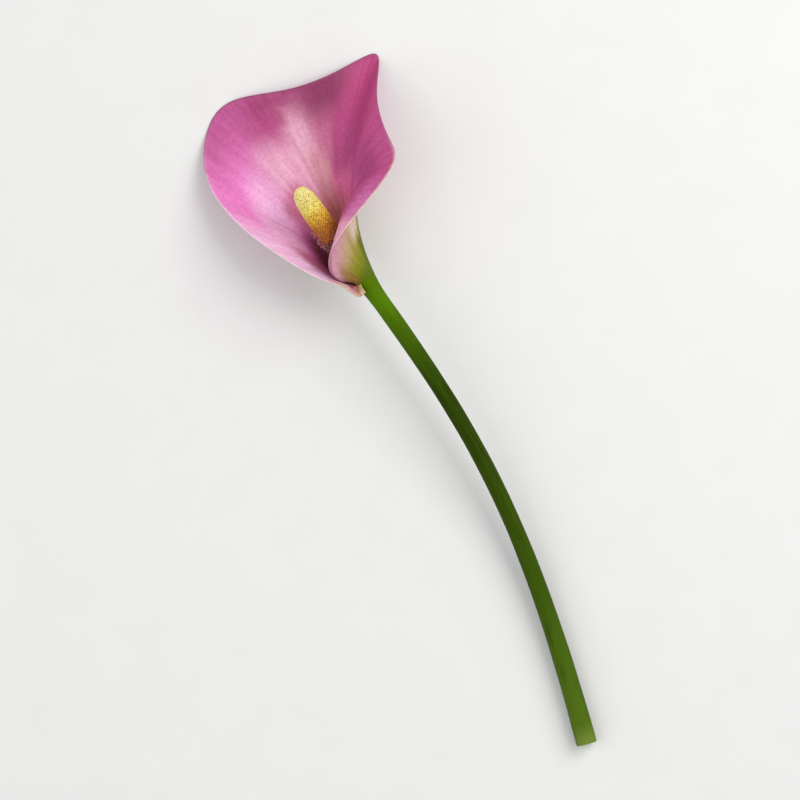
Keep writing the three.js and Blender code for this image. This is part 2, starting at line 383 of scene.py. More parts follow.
def ridge(across, up_vein):
    """Height of the soft ridges, in millimetres."""
    fade = math.sin(math.pi * min(1, up_vein * 1.04)) ** 0.8
    wide = math.sin(across * 61 + 2 * math.sin(across * 17)) * WIDE_RIDGE
    narrow = math.sin(across * 173 + 3 * math.sin(across * 29 + up_vein * 2)) * NARROW_RIDGE
    return (wide + narrow) * fade


normals = [v.normal.copy() for v in spathe.data.vertices]
for vertex, normal in zip(spathe.data.vertices, normals):
    spot = places[vertex.index]
    if vertex.co.z > CLEAR_OF_SURFACE:
        vertex.co += normal * ridge(spot.x, spot.y) * MM
print("ridges up to", WIDE_RIDGE + NARROW_RIDGE, "mm high")

# %% [markdown]
# The sheet is fleshy at the neck and thin at the rim, so Solidify reads its thickness from a vertex
# group. It also gives the three skins a material slot each: inside, outside and the thin margin. Where
# the hood lies on the surface, its own weight presses it flat.

# %% Thickness, rounded margin and the flat spots
def rest_on_surface(piece):
    """Whatever would reach below the surface is pressed flat against it."""
    low = [v for v in piece.data.vertices if v.co.z < 0]
    for v in low:
        v.co.z = 0
    return len(low)


for slot_name in ("inside", "outside", "margin"):
    spathe.data.materials.append(bpy.data.materials.new(slot_name))
apply_modifier(spathe, "SOLIDIFY", thickness=WALL_AT_NECK, offset=0, use_even_offset=False,
               vertex_group="fleshy", thickness_vertex_group=WALL_AT_RIM / WALL_AT_NECK,
               material_offset=1, material_offset_rim=2)
apply_modifier(spathe, "SUBSURF", levels=1, render_levels=1, uv_smooth="NONE")
flattened = rest_on_surface(spathe)
clear_selection()
spathe.select_set(True)
bpy.ops.object.shade_smooth()
print("spathe:", len(spathe.data.polygons), "faces,", flattened, "points pressed flat")

# %% [markdown]
# ## The colours of the spathe
#
# Inside, the hood is magenta, lilac on the left lobe and blush towards the lower margin, with a pale band
# that climbs from the burgundy throat. A painter would lay these one over the other as soft washes, and
# so does the finish: each wash is a colour, its strength and a soft-edged patch on the sheet's own map,
# which goes across the veins and up them, from 0 to 1 each way. For each way the patch has a middle, a
# core of full strength and a reach where it ends. The map follows the sheet wherever it curls, which
# object coordinates could not do.

# %% Helpers for the colours of the sheet
def sheet_map(tree):
    """The two directions of the sheet: across the veins, and up them."""
    uv = tree.nodes.new("ShaderNodeUVMap")
    uv.uv_map = "sheet"
    split = tree.nodes.new("ShaderNodeSeparateXYZ")
    tree.links.new(uv.outputs[0], split.inputs[0])
    return split.outputs[0], split.outputs[1]


def vein_streaks(tree, across, up_vein, count, length):
    """Noise drawn out along the veins."""
    return noise(tree, stretched(tree, calc(tree, "MULTIPLY", across, count),
                                 calc(tree, "MULTIPLY", up_vein, length)), 1.0, 4.0)


def shaken(tree, value, pattern, amount):
    """A value moved a little to and fro by a pattern, so that no mask has a ruled edge."""
    return calc(tree, "MULTIPLY_ADD", calc(tree, "SUBTRACT", pattern, 0.5), amount, value)


def washes(tree, skin, across, up_vein, patches):
    """Lays soft washes over a skin, one after the other."""
    for colour, strength, *spot in patches:
        patch = calc(tree, "MULTIPLY", band(tree, across, *spot[:3]), band(tree, up_vein, *spot[3:]))
        skin = tint(tree, calc(tree, "MULTIPLY", patch, strength), skin, srgb(*colour))
    return skin


def uneven(tree, skin, pattern, low, high, swing):
    """Darkens a skin where a pattern is low and lightens it where it is high, by a share for each channel."""
    dark = tuple(1 - s for s in swing) + (1,)
    light = tuple(1 + s for s in swing) + (1,)
    return tint(tree, 1.0, skin, tint(tree, soft_step(tree, pattern, low, high), dark, light), "MULTIPLY")


def rim_colour(tree, across):
    """The thin edge: cream along the lower left and the rolled right side, dusky along the top."""
    return colour_ramp(tree, across, [
        (0.0, srgb(200, 182, 130)), (0.07, srgb(224, 200, 178)), (0.15, srgb(244, 224, 226)),
        (0.29, srgb(246, 214, 228)), (0.36, srgb(186, 112, 150)), (0.46, srgb(150, 74, 110)),
        (0.68, srgb(172, 84, 132)), (0.74, srgb(240, 222, 200)), (0.84, srgb(242, 220, 206)),
        (0.89, srgb(214, 156, 180)), (1.0, srgb(190, 126, 136))])


print("helpers for the sheet are ready")

# %% Washes of the inside
# colour, strength | across: middle, core, reach | up the vein: middle, core, reach
INSIDE_WASHES = [
    ((240, 134, 204), 1.00, 0.310, 0.030, 0.140, 0.780, 0.250, 0.60),  # lilac of the left lobe
    ((198, 90, 152), 0.90, 0.380, 0.020, 0.080, 1.020, 0.060, 0.24),   # its deeper rim
    ((254, 204, 240), 0.95, 0.195, 0.030, 0.100, 0.860, 0.140, 0.42),  # blush towards the lower margin
    ((255, 196, 236), 0.85, 0.310, 0.030, 0.120, 0.630, 0.050, 0.20),  # milky bowl
    ((248, 182, 210), 0.88, 0.425, 0.020, 0.052, 0.600, 0.080, 0.24),  # rosy bowl above the finger
    ((246, 190, 214), 0.50, 0.400, 0.015, 0.045, 0.610, 0.020, 0.09),  # its paler left side
    ((168, 64, 114), 0.70, 0.456, 0.010, 0.038, 0.925, 0.020, 0.08),   # deep rim left of the pale band
    ((248, 190, 212), 0.88, 0.473, 0.003, 0.031, 0.740, 0.060, 0.27),  # pale band
    ((186, 76, 130), 0.75, 0.450, 0.008, 0.020, 0.880, 0.025, 0.06),   # the band's upper left edge
    ((176, 70, 122), 0.65, 0.456, 0.008, 0.022, 0.955, 0.015, 0.04),   # the rim above that edge
    ((224, 156, 168), 0.90, 0.482, 0.010, 0.030, 0.550, 0.080, 0.18),  # the band's foot, a little brown
    ((240, 138, 180), 0.85, 0.525, 0.015, 0.045, 0.450, 0.040, 0.13),  # painted light on the lit fold right of that foot, in lighter pink
    ((206, 120, 152), 0.55, 0.498, 0.010, 0.030, 0.780, 0.100, 0.20),  # dusky right edge of the band
    ((204, 112, 142), 0.80, 0.385, 0.030, 0.060, 0.460, 0.060, 0.14),  # shade left of the finger
    ((140, 54, 94), 0.90, 0.515, 0.012, 0.055, 0.960, 0.030, 0.20),    # dusky upper edge
    ((230, 114, 168), 0.90, 0.545, 0.030, 0.080, 0.400, 0.080, 0.24),  # pink right of the finger
    ((194, 74, 132), 0.90, 0.590, 0.030, 0.080, 0.900, 0.060, 0.24),   # tip
    ((164, 60, 114), 0.90, 0.715, 0.020, 0.070, 0.820, 0.030, 0.14),   # deeper corner of the right lobe
    ((212, 118, 174), 0.80, 0.830, 0.020, 0.090, 0.950, 0.030, 0.12),  # lilac along the rolled side
    ((238, 174, 194), 0.90, 0.910, 0.060, 0.090, 0.900, 0.120, 0.50),  # rolled flap over the throat
    ((196, 100, 132), 0.80, 0.205, 0.015, 0.045, 0.500, 0.100, 0.26),  # painted shade below the throat, rosy
    ((138, 74, 66), 0.80, 0.550, 0.400, 0.500, 0.000, 0.180, 0.46),    # brown deep in the throat
    ((186, 120, 96), 0.75, 0.478, 0.012, 0.085, 0.330, 0.040, 0.24),   # olive brown behind the finger
    ((104, 40, 52), 0.95, 0.255, 0.040, 0.130, 0.280, 0.090, 0.24),    # burgundy throat
    ((220, 128, 122), 0.85, 0.190, 0.030, 0.080, 0.060, 0.050, 0.16),  # painted light in the shaded gap at the root of the throat, rosy
    ((142, 86, 84), 1.00, 0.108, 0.020, 0.042, 0.280, 0.140, 0.46),    # valley of the curled foot
    ((216, 174, 168), 0.95, 0.080, 0.030, 0.060, 1.000, 0.120, 0.44),  # the foot's pale rim
    ((126, 76, 94), 0.80, 0.098, 0.008, 0.030, 0.640, 0.060, 0.16),    # dusky fold of the foot
    ((172, 84, 102), 0.70, 0.062, 0.006, 0.022, 0.500, 0.060, 0.18),   # rosy stripe on the foot
    ((172, 118, 92), 0.90, 0.050, 0.010, 0.035, 0.300, 0.300, 0.70),   # tan where the foot curls
    ((178, 160, 84), 1.00, 0.000, 0.015, 0.045, 0.100, 0.200, 0.60),   # olive margin by the stem
    ((216, 196, 146), 0.90, 0.000, 0.015, 0.045, 1.000, 0.300, 0.60),  # cream corner of the foot
]
print(len(INSIDE_WASHES), "washes for the inside")

# %% Finish for the inside
MOTTLE_SCALE = 700

finish_inside, tree, shader = new_finish("spathe_inside", 0.5)
shader.inputs["Specular IOR Level"].default_value = 0.25
across, up_vein = sheet_map(tree)
streaks = vein_streaks(tree, across, up_vein, count=90, length=2)
broad = vein_streaks(tree, across, up_vein, count=24, length=2)
shaken_across = shaken(tree, across, broad, 0.024)
shaken_up = shaken(tree, up_vein, streaks, 0.05)
skin = washes(tree, srgb(190, 80, 136), shaken_across, shaken_up, INSIDE_WASHES)
edge = soft_step(tree, up_vein, low=0.978, high=0.998)
skin = tint(tree, calc(tree, "MULTIPLY", edge, 0.6), skin, rim_colour(tree, across))
mottle = noise(tree, object_place(tree), MOTTLE_SCALE)
skin = uneven(tree, skin, streaks, low=0.32, high=0.68, swing=(0.06, 0.13, 0.09))
skin = uneven(tree, skin, mottle, low=0.36, high=0.64, swing=(0.04, 0.10, 0.06))
wire(tree, skin, shader.inputs["Base Color"])
relief = calc(tree, "MULTIPLY_ADD", streaks, 0.7, calc(tree, "MULTIPLY", mottle, 0.3))
wire(tree, bump(tree, relief, 0.25 * MM), shader.inputs["Normal"])
wire(tree, calc(tree, "MULTIPLY_ADD", mottle, 0.16, 0.42), shader.inputs["Roughness"])
spathe.data.materials[0] = finish_inside
print("inside finished with", len(tree.nodes), "nodes")

# %% [markdown]
# Outside, the foot of the spathe is as green as the stem. The green turns yellow, then cream and lilac
# pink, with fine darker veins, and the pink of the inside shows through towards the rim. One ramp up the
# veins gives that change, and a few washes add what differs from one side to the other. Round forms that
# lie down get painted shade on their flanks and under them, where they turn away from the light above.
# The normal's own direction says where that is, so the painted shade stays in its place from wherever the
# flower is seen.

# %% Washes of the outside, and the painted shade below
# colour, strength | across: middle, core, reach | up the vein: middle, core, reach
OUTSIDE_WASHES = [
    ((204, 112, 164), 0.90, 0.450, 0.300, 0.360, 0.85, 0.26, 0.40),  # pink that shows through the hood
    ((234, 212, 200), 0.80, 0.715, 0.045, 0.110, 0.42, 0.02, 0.13),  # cream shoulder
    ((92, 106, 10), 0.80, 0.700, 0.040, 0.090, 0.20, 0.06, 0.14),    # painted shade: darker green on the right side of the tube, where it curves away from the light
    ((156, 116, 54), 0.80, 0.948, 0.010, 0.060, 0.38, 0.14, 0.40),   # warm stain by the lip
    ((130, 82, 58), 0.90, 1.000, 0.012, 0.050, 0.50, 0.26, 0.44),    # brown right margin
    ((174, 148, 70), 0.90, 1.000, 0.010, 0.035, 0.06, 0.06, 0.22),   # yellow-green foot of that margin
    ((158, 104, 118), 0.85, 0.920, 0.050, 0.090, 1.00, 0.03, 0.16),  # shade under the rolled lip
]
SHADE_BELOW = (0.30, 0.32, 0.25, 1)


def painted_shade_below(tree, skin, strength):
    """Paints shade on a round form down its flanks and under it, where its skin turns away from the light
    above.
    """
    split = tree.nodes.new("ShaderNodeSeparateXYZ")
    tree.links.new(tree.nodes.new("ShaderNodeTexCoord").outputs["Normal"], split.inputs[0])
    turned_away = calc(tree, "SUBTRACT", 1.0, split.outputs[2])
    share = calc(tree, "MULTIPLY", soft_step(tree, turned_away, low=0.45, high=0.95), strength)
    return tint(tree, share, skin, SHADE_BELOW, "MULTIPLY")


print(len(OUTSIDE_WASHES), "washes for the outside")

# %% Finish for the outside
finish_outside, tree, shader = new_finish("spathe_outside", 0.5)
shader.inputs["Specular IOR Level"].default_value = 0.14
across, up_vein = sheet_map(tree)
streaks = vein_streaks(tree, across, up_vein, count=130, length=2)
reach = shaken(tree, up_vein, streaks, 0.14)
skin = colour_ramp(tree, reach, [
    (0.0, srgb(84, 110, 1)), (0.10, srgb(96, 116, 4)), (0.20, srgb(124, 132, 16)), (0.30, srgb(148, 144, 34)),
    (0.40, srgb(176, 156, 88)), (0.50, srgb(196, 162, 136)), (0.62, srgb(208, 160, 166)),
    (0.75, srgb(214, 156, 176)), (1.0, srgb(208, 142, 166))])
skin = washes(tree, skin, across, reach, OUTSIDE_WASHES)
vein_lines = noise(tree, stretched(tree, calc(tree, "MULTIPLY", across, 230),
                                   calc(tree, "MULTIPLY", up_vein, 1.8)), 1.0, 2.0)
lines = calc(tree, "SUBTRACT", 1.0, soft_step(tree, vein_lines, low=0.34, high=0.47))
fading = calc(tree, "SUBTRACT", 0.65, calc(tree, "MULTIPLY", up_vein, 0.35))
line_colour = colour_ramp(tree, up_vein, [(0.1, srgb(90, 84, 20)), (0.6, srgb(158, 96, 116))])
skin = tint(tree, calc(tree, "MULTIPLY", lines, fading), skin, line_colour)
mottle = noise(tree, object_place(tree), MOTTLE_SCALE)
skin = uneven(tree, skin, mottle, low=0.36, high=0.64, swing=(0.05, 0.06, 0.06))
on_the_tube = soft_step(tree, up_vein, low=0.75, high=0.35)
# painted shade on the flanks and underside of the tube
skin = painted_shade_below(tree, skin, calc(tree, "MULTIPLY", on_the_tube, 0.5))
wire(tree, skin, shader.inputs["Base Color"])
relief = calc(tree, "ADD", streaks, calc(tree, "MULTIPLY", vein_lines, 0.5))
wire(tree, bump(tree, relief, 0.25 * MM), shader.inputs["Normal"])
spathe.data.materials[1] = finish_outside
print("outside finished with", len(tree.nodes), "nodes")

# %% [markdown]
# The cut-thin margin is a slot of its own. It catches the light as a fine line, cream along the lower
# left and the rolled side and dusky along the top, so it has the colour of the rim with small flecks.

# %% Finish for the thin margin
finish_margin, tree, shader = new_finish("spathe_margin", 0.5)
shader.inputs["Specular IOR Level"].default_value = 0.25
across, up_vein = sheet_map(tree)
fleck = noise(tree, object_place(tree), 500)
skin = uneven(tree, rim_colour(tree, across), fleck, low=0.36, high=0.64, swing=(0.04, 0.06, 0.06))
wire(tree, skin, shader.inputs["Base Color"])
wire(tree, bump(tree, fleck, 0.1 * MM), shader.inputs["Normal"])
spathe.data.materials[2] = finish_margin
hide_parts("spathe")
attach(spathe, "root")
faces_by_finish = [sum(p.material_index == k for p in spathe.data.polygons) for k in range(3)]
print("spathe faces inside, outside and on the margin:", faces_by_finish)

# %% [markdown]
# ## Round pieces: drawn out straight, then bent
#
# The stem and the two parts of the spadix are round and slightly curved. The easy way is to make each
# one straight, along +X, and to bend it afterwards. A ring is drawn out ring by ring with the extrude
# operator, scaled at each step to the measured radius. A Curve modifier then lays it along its path.

# %% Helpers for round pieces
def radius_at(profile, length):
    """Radius of a profile at one length, straight from pair to pair."""
    for (from_length, from_radius), (to_length, to_radius) in zip(profile, profile[1:]):
        if length <= to_length:
            share = (length - from_length) / (to_length - from_length)
            return from_radius + (to_radius - from_radius) * share
    return profile[-1][1]


def draw_out(name, profile, sides):
    """A closed round piece along +X from a list of (length, radius), both in millimetres."""
    length, radius = profile[0]
    clear_selection()
    bpy.ops.mesh.primitive_circle_add(vertices=sides, radius=radius * MM, fill_type="NGON",
                                      rotation=(0, math.pi / 2, 0), location=(length * MM, 0, 0))
    piece = bpy.context.object
    piece.name = name
    bpy.ops.object.transform_apply()
    bpy.ops.object.mode_set(mode="EDIT")
    bpy.ops.mesh.select_all(action="SELECT")
    for next_length, next_radius in profile[1:]:
        step = (next_length - length) * MM
        bpy.ops.mesh.extrude_region_move(TRANSFORM_OT_translate={"value": (step, 0, 0)})
        scale = next_radius / radius
        bpy.ops.transform.resize(value=(1, scale, scale), center_override=(next_length * MM, 0, 0))
        length, radius = next_length, next_radius
    bpy.ops.mesh.select_all(action="SELECT")
    bpy.ops.mesh.normals_make_consistent(inside=False)
    bpy.ops.object.mode_set(mode="OBJECT")
    return piece


def path_curve(name, knots):
    """A smooth path through (place, left handle, right handle); None lets Blender set a handle."""
    data = bpy.data.curves.new(name, "CURVE")
    data.dimensions = "3D"
    data.resolution_u = 32
    data.twist_mode = "Z_UP"
    spline = data.splines.new("BEZIER")
    spline.bezier_points.add(len(knots) - 1)
    for point, (middle, left, right) in zip(spline.bezier_points, knots):
        point.handle_left_type = point.handle_right_type = "FREE" if left else "AUTO"
        point.co = middle
        if left:
            point.handle_left, point.handle_right = left, right
    curve = bpy.data.objects.new(name, data)
    bpy.context.scene.collection.objects.link(curve)
    bpy.context.view_layer.update()
    return curve


def bend(piece, curve):
    """Keeps the straight form as an attribute for the finishes, then lays the piece along the curve."""
    straight = piece.data.attributes.new("straight", "FLOAT_VECTOR", "POINT")
    for vertex, value in zip(piece.data.vertices, straight.data):
        value.vector = vertex.co / MM
    apply_modifier(piece, "CURVE", object=curve, deform_axis="POS_X")


print("helpers for round pieces are ready")

# %% [markdown]
# ## The stem
#
# The stem is a solid fleshy rod. It lies on the surface at its cut end and rises to the neck, where it
# widens into the foot of the spathe. Its path is one Bézier curve with the handles of the measured
# model, and its length comes from the curve.

# %% The stem's path
# in millimetres: the foot's thickness and its place from the neck, and the lengths of the handles
STEM_FOOT_RADIUS = 4.8
PRESSED_FLAT = 0.25
FOOT_RIGHT = 101.4
FOOT_DOWN = 212.4
FOOT_HANDLE = 114
NECK_HANDLE = 79
OUTER_HANDLE = 10

foot = Vector((NECK.x + FOOT_RIGHT * MM, NECK.y - FOOT_DOWN * MM, (STEM_FOOT_RADIUS - PRESSED_FLAT) * MM))
heading = Vector((-0.261, 0.965, 0)).normalized()
stem_path = path_curve("stem_path", [
    (foot, foot - heading * OUTER_HANDLE * MM, foot + heading * FOOT_HANDLE * MM),
    (NECK, NECK - STEM_AXIS * NECK_HANDLE * MM, NECK + STEM_AXIS * OUTER_HANDLE * MM)])
STEM_LENGTH = stem_path.data.splines[0].calc_length() / MM
print("stem length, mm:", round(STEM_LENGTH, 1))

# %% The stem's form
# (length, radius) in millimetres: the whole stem, its rounded cut edge, and its collar under the spathe
STEM_PROFILE = [(0, STEM_FOOT_RADIUS), (60, 4.2), (110, 3.85), (150, 3.8), (184, 3.82), (206, 3.95),
                (240, 3.98)]
CUT_EDGE = [(0, 4.15), (0.12, 4.45), (0.4, 4.7), (0.9, STEM_FOOT_RADIUS)]
COLLAR = [(-14, 3.97), (-11, 4.03), (-8.5, 4.12), (-6.4, 4.26), (-4.5, 4.45), (-3.0, 4.66), (-1.8, 4.85),
          (-0.8, 4.99), (0, 5.04), (0.5, 5.06), (0.7, 4.9), (1.7, 3.35)]
STEM_STEPS = 49
WAVER = 0.04

profile = list(CUT_EDGE)
plain_length = STEM_LENGTH + COLLAR[0][0] - CUT_EDGE[-1][0]
for k in range(1, STEM_STEPS):
    length = CUT_EDGE[-1][0] + plain_length * k / STEM_STEPS
    waver = WAVER * math.sin(k * 0.9) * math.sin(k * 0.23)
    profile.append((length, radius_at(STEM_PROFILE, length) + waver))
profile += [(STEM_LENGTH + beyond_neck, radius) for beyond_neck, radius in COLLAR]
stem = draw_out("stem_rod", profile, sides=40)
bend(stem, stem_path)
rest_on_surface(stem)
clear_selection()
stem.select_set(True)
bpy.ops.object.shade_smooth_by_angle(angle=math.radians(40))
print("stem:", len(stem.data.polygons), "faces")

# %% [markdown]
# The skin of the stem is a satin green, lighter at the cut end and under the flower, with faint stripes
# along it. The stripes are noise stretched along the straight form, which was kept before the bend, so
# they follow the stem round its curve and have no seam.

# %% Finish for the stem
def straight_place(tree):
    """The place on the straight form, in millimetres: along it, to its side and up."""
    node = tree.nodes.new("ShaderNodeAttribute")
    node.attribute_name = "straight"
    split = tree.nodes.new("ShaderNodeSeparateXYZ")
    tree.links.new(node.outputs["Vector"], split.inputs[0])
    return split.outputs


def stem_noise(tree, place_on_stem, squeeze, scale, detail):
    """Noise drawn out along the stem: the smaller the squeeze, the longer its marks."""
    lengthwise, side, top = place_on_stem
    return noise(tree, stretched(tree, calc(tree, "MULTIPLY", lengthwise, squeeze), side, top), scale, detail)


def marked(tree, skin, pattern, low, high, strength, colour):
    """Lays a colour over a skin where a pattern is high."""
    return tint(tree, calc(tree, "MULTIPLY", soft_step(tree, pattern, low, high), strength), skin, colour)


finish_stem, tree, shader = new_finish("stem_skin", 0.52)
shader.inputs["Specular IOR Level"].default_value = 0.04
on_stem = straight_place(tree)
stripes = stem_noise(tree, on_stem, squeeze=0.02, scale=1.6, detail=4.0)
fine = stem_noise(tree, on_stem, squeeze=0.05, scale=5.0, detail=3.0)
clouds = stem_noise(tree, on_stem, squeeze=0.25, scale=0.25, detail=3.0)
skin = colour_ramp(tree, calc(tree, "DIVIDE", on_stem[0], STEM_LENGTH), [
    (0.0, srgb(126, 148, 64)), (0.04, srgb(86, 116, 26)), (0.30, srgb(60, 88, 8)), (0.60, srgb(46, 66, 2)),
    (0.74, srgb(43, 62, 1)), (0.80, srgb(52, 79, 0)), (0.88, srgb(68, 102, 0)), (0.95, srgb(86, 130, 0)),
    (0.99, srgb(86, 118, 1))])
skin = marked(tree, skin, stripes, 0.42, 0.68, 0.30, srgb(84, 112, 10))
skin = marked(tree, skin, clouds, 0.5, 0.72, 0.35, srgb(40, 60, 2))
skin = marked(tree, skin, fine, 0.55, 0.7, 0.25, srgb(38, 58, 4))
# painted shade: the stem is darkened down its flanks and under it, where it turns away from the light above
wire(tree, painted_shade_below(tree, skin, 0.5), shader.inputs["Base Color"])
relief = calc(tree, "MULTIPLY_ADD", stripes, 0.7, calc(tree, "MULTIPLY", fine, 0.3))
wire(tree, bump(tree, relief, 0.3 * MM), shader.inputs["Normal"])
stem.data.materials.append(finish_stem)
print("stem skin finished with", len(tree.nodes), "nodes")

# %% [markdown]
# The cut end is wet and pale, with darker dots where the sap runs and a ring of green skin round it. The
# dots are the middles of Voronoi cells, which lie scattered as the strands of a stem do, and the ring
# comes from the distance to the middle of the straight form.

# %% Finish for the cut end
finish_cut, tree, shader = new_finish("stem_cut", 0.28)
lengthwise, side, top = straight_place(tree)
from_middle = calc(tree, "SQRT", calc(tree, "ADD", calc(tree, "MULTIPLY", side, side),
                                      calc(tree, "MULTIPLY", top, top)))
cells = tree.nodes.new("ShaderNodeTexVoronoi")
wire(tree, stretched(tree, 0.0, side, top), cells.inputs["Vector"])
cells.inputs["Scale"].default_value = 1.0
dots = calc(tree, "SUBTRACT", 1.0, soft_step(tree, cells.outputs["Distance"], low=0.16, high=0.30))
flesh = colour_ramp(tree, calc(tree, "DIVIDE", from_middle, STEM_FOOT_RADIUS), [
    (0.0, srgb(222, 230, 180)), (0.6, srgb(206, 220, 150)), (0.86, srgb(150, 180, 80)),
    (0.97, srgb(90, 130, 30))])
flesh = tint(tree, calc(tree, "MULTIPLY", dots, 0.6), flesh, srgb(120, 150, 60))
wire(tree, flesh, shader.inputs["Base Color"])
grain = noise(tree, stretched(tree, lengthwise, side, top), 3.0)
wire(tree, bump(tree, grain, 0.2 * MM), shader.inputs["Normal"])
stem.data.materials.append(finish_cut)
for face in stem.data.polygons:
    if face.normal.dot(-heading) > 0.9:
        face.material_index = 1
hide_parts("stem")
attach(stem, "root")
print("cut faces:", sum(p.material_index == 1 for p in stem.data.polygons))

# %% [markdown]
# ## The spadix: packing the florets
#
# Both parts of the spadix are covered with tiny florets in the spiral packing that plants use: each
# floret stands a golden angle further round than the last, and each gets the same share of the surface.
# Each kind of floret is modelled once. Its copies are set on the straight form and bent together with
# it. A few seeded differences in size and turn keep the rows from looking machined.

# %% Helpers for the florets
SPADIX_KNOTS = [(2, -0.14, 0), (5, -0.35, 0), (11, -1.3, 0.3), (18, -2.3, 0.8), (28, -2.8, 1.6),
                (52.7, -4.1, 4)]
GOLDEN_ANGLE = math.pi * (3 - math.sqrt(5))
LENGTH_STEPS = 600
SLOPE_REACH = 0.15
# how far a floret may differ from its neighbours: in millimetres, in radians, and in size
PLACE_PLAY, DEPTH_PLAY = 0.14, 0.07
LEAN_PLAY, TURN_PLAY = 0.16, 0.8
SMALLEST, LARGEST = 0.86, 1.14
spadix_path = path_curve("spadix_path", [(place(*knot), None, None) for knot in SPADIX_KNOTS])


def packed_places(profile, spacing):
    """Places for florets on a round form: (length, angle, radius, slope) for each."""
    start, end = profile[0][0], profile[-1][0]
    lengths = [start + (end - start) * k / LENGTH_STEPS for k in range(LENGTH_STEPS + 1)]
    areas = [0.0]
    for low, high in zip(lengths, lengths[1:]):
        low_radius, high_radius = radius_at(profile, low), radius_at(profile, high)
        slant = math.hypot(high - low, high_radius - low_radius)
        areas.append(areas[-1] + math.pi * (low_radius + high_radius) * slant)
    count = int(areas[-1] / (spacing ** 2 * math.sqrt(3) / 2))
    found = []
    k = 0
    for number in range(count):
        wanted = (number + 0.5) / count * areas[-1]
        while areas[k + 1] < wanted:
            k += 1
        length = lengths[k] + (lengths[k + 1] - lengths[k]) * (wanted - areas[k]) / (areas[k + 1] - areas[k])
        rise = radius_at(profile, length + SLOPE_REACH) - radius_at(profile, length - SLOPE_REACH)
        slope = rise / (2 * SLOPE_REACH)
        found.append((length, number * GOLDEN_ANGLE, radius_at(profile, length), slope))
    return found


def plant_florets(kinds, spots, sink, seed):
    """Copies a floret onto each spot, a little different every time, and returns the copies."""
    chance = random.Random(seed)
    copies = []
    for length, angle, radius, slope in spots:
        length += chance.uniform(-PLACE_PLAY, PLACE_PLAY)
        angle += chance.uniform(-PLACE_PLAY, PLACE_PLAY) / max(radius, 1)
        tilt = chance.uniform(-LEAN_PLAY, LEAN_PLAY)
        outward = Vector((tilt - slope, math.cos(angle), math.sin(angle))).normalized()
        twin = bpy.data.objects.new("floret", chance.choice(kinds).data.copy())
        bpy.context.scene.collection.objects.link(twin)
        spot = Vector((length, radius * math.cos(angle), radius * math.sin(angle))) * MM
        spot -= outward * (sink + chance.uniform(-DEPTH_PLAY, DEPTH_PLAY)) * MM
        facing_out = outward.to_track_quat("Z", "X").to_matrix().to_4x4()
        turn = Matrix.Rotation(chance.uniform(-TURN_PLAY, TURN_PLAY), 4, "Z")
        size = Matrix.Scale(chance.uniform(SMALLEST, LARGEST), 4)
        twin.matrix_world = Matrix.Translation(spot) @ facing_out @ turn @ size
        copies.append(twin)
    return copies


def join_all(core, others):
    """Joins the others into the core, each place kept in the mesh."""
    clear_selection()
    for other in others:
        other.select_set(True)
    core.select_set(True)
    bpy.context.view_layer.objects.active = core
    bpy.ops.object.join()


print("spadix path, mm:", round(spadix_path.data.splines[0].calc_length() / MM, 1))

# %% [markdown]
# ## The seed-bearing florets
#
# Low on the spadix each floret is a plump bead, an ovary, with a short neck and a button on top. It
# starts as a short block whose top face is inset and lifted in three steps, which rounds it, and then
# drawn up into the neck and the button. A sphere would take more faces for the same look, and a piece
# with so many copies has to keep each of them small.

# %% Helpers for one floret
def start_floret(name, radius, height):
    """A short eight-sided block on the origin, left in edit mode with its top face selected."""
    clear_selection()
    bpy.ops.mesh.primitive_cylinder_add(vertices=8, radius=radius * MM, depth=height * MM,
                                        end_fill_type="NGON", location=(0, 0, height / 2 * MM))
    floret = bpy.context.object
    floret.name = name
    bpy.ops.object.transform_apply()
    bpy.ops.object.mode_set(mode="EDIT")
    bpy.ops.mesh.select_all(action="DESELECT")
    bpy.ops.object.mode_set(mode="OBJECT")
    for face in floret.data.polygons:
        face.select = face.normal.z > 0.9
    bpy.ops.object.mode_set(mode="EDIT")
    return floret


def inset_and_lift(*steps):
    """Insets the selected top face and lifts it, once for each (thickness, lift) in millimetres."""
    for thickness, lift in steps:
        bpy.ops.mesh.inset(thickness=thickness * MM, depth=lift * MM)


def extrude_up(lift, widening):
    """Extrudes the selected top face by so many millimetres and widens it."""
    bpy.ops.mesh.extrude_region_move(TRANSFORM_OT_translate={"value": (0, 0, lift * MM)})
    bpy.ops.transform.resize(value=(widening, widening, 1))


def mark_height(floret, top, pore_radius=0.0):
    """Keeps each point's height, 0 at the root and in the pore and 1 at the top, for the finishes, which
    paint shade where it is low.
    """
    heights = floret.data.attributes.new("height", "FLOAT", "POINT")
    for vertex, value in zip(floret.data.vertices, heights.data):
        in_pore = math.hypot(vertex.co.x, vertex.co.y) < pore_radius * MM
        value.value = 0.0 if in_pore else max(0.0, min(1.0, vertex.co.z / MM / top))


print("helpers for one floret are ready")

# %% The pistils' form
PISTIL_PROFILE = [(0, 2.9), (0.6, 3.3), (4, 3.7), (9, 4.3), (15, 4.8), (19, 5.0), (20.8, 4.8), (21.6, 3.9)]
BEAD_RADIUS, BEAD_BLOCK, BEAD_TOP = 0.92, 0.7, 1.68
BEAD_SPACING = 1.75
BEAD_SINK = 0.85
CORE_BELOW_BEADS = 0.45

pistil = start_floret("pistil", BEAD_RADIUS, BEAD_BLOCK)
inset_and_lift((0.18, 0.28), (0.34, 0.16), (0.12, 0.10))
extrude_up(0.32, widening=1.5)
extrude_up(0.12, widening=0.6)
bpy.ops.object.mode_set(mode="OBJECT")
mark_height(pistil, BEAD_TOP)
core_profile = [(length, radius - CORE_BELOW_BEADS) for length, radius in PISTIL_PROFILE]
pistils = draw_out("spadix_beads", core_profile, sides=24)
beads = plant_florets([pistil], packed_places(PISTIL_PROFILE, BEAD_SPACING), BEAD_SINK, seed=5)
join_all(pistils, beads)
bpy.data.objects.remove(pistil)
bend(pistils, spadix_path)
print("pistils:", len(beads), "beads,", len(pistils.data.polygons), "faces")

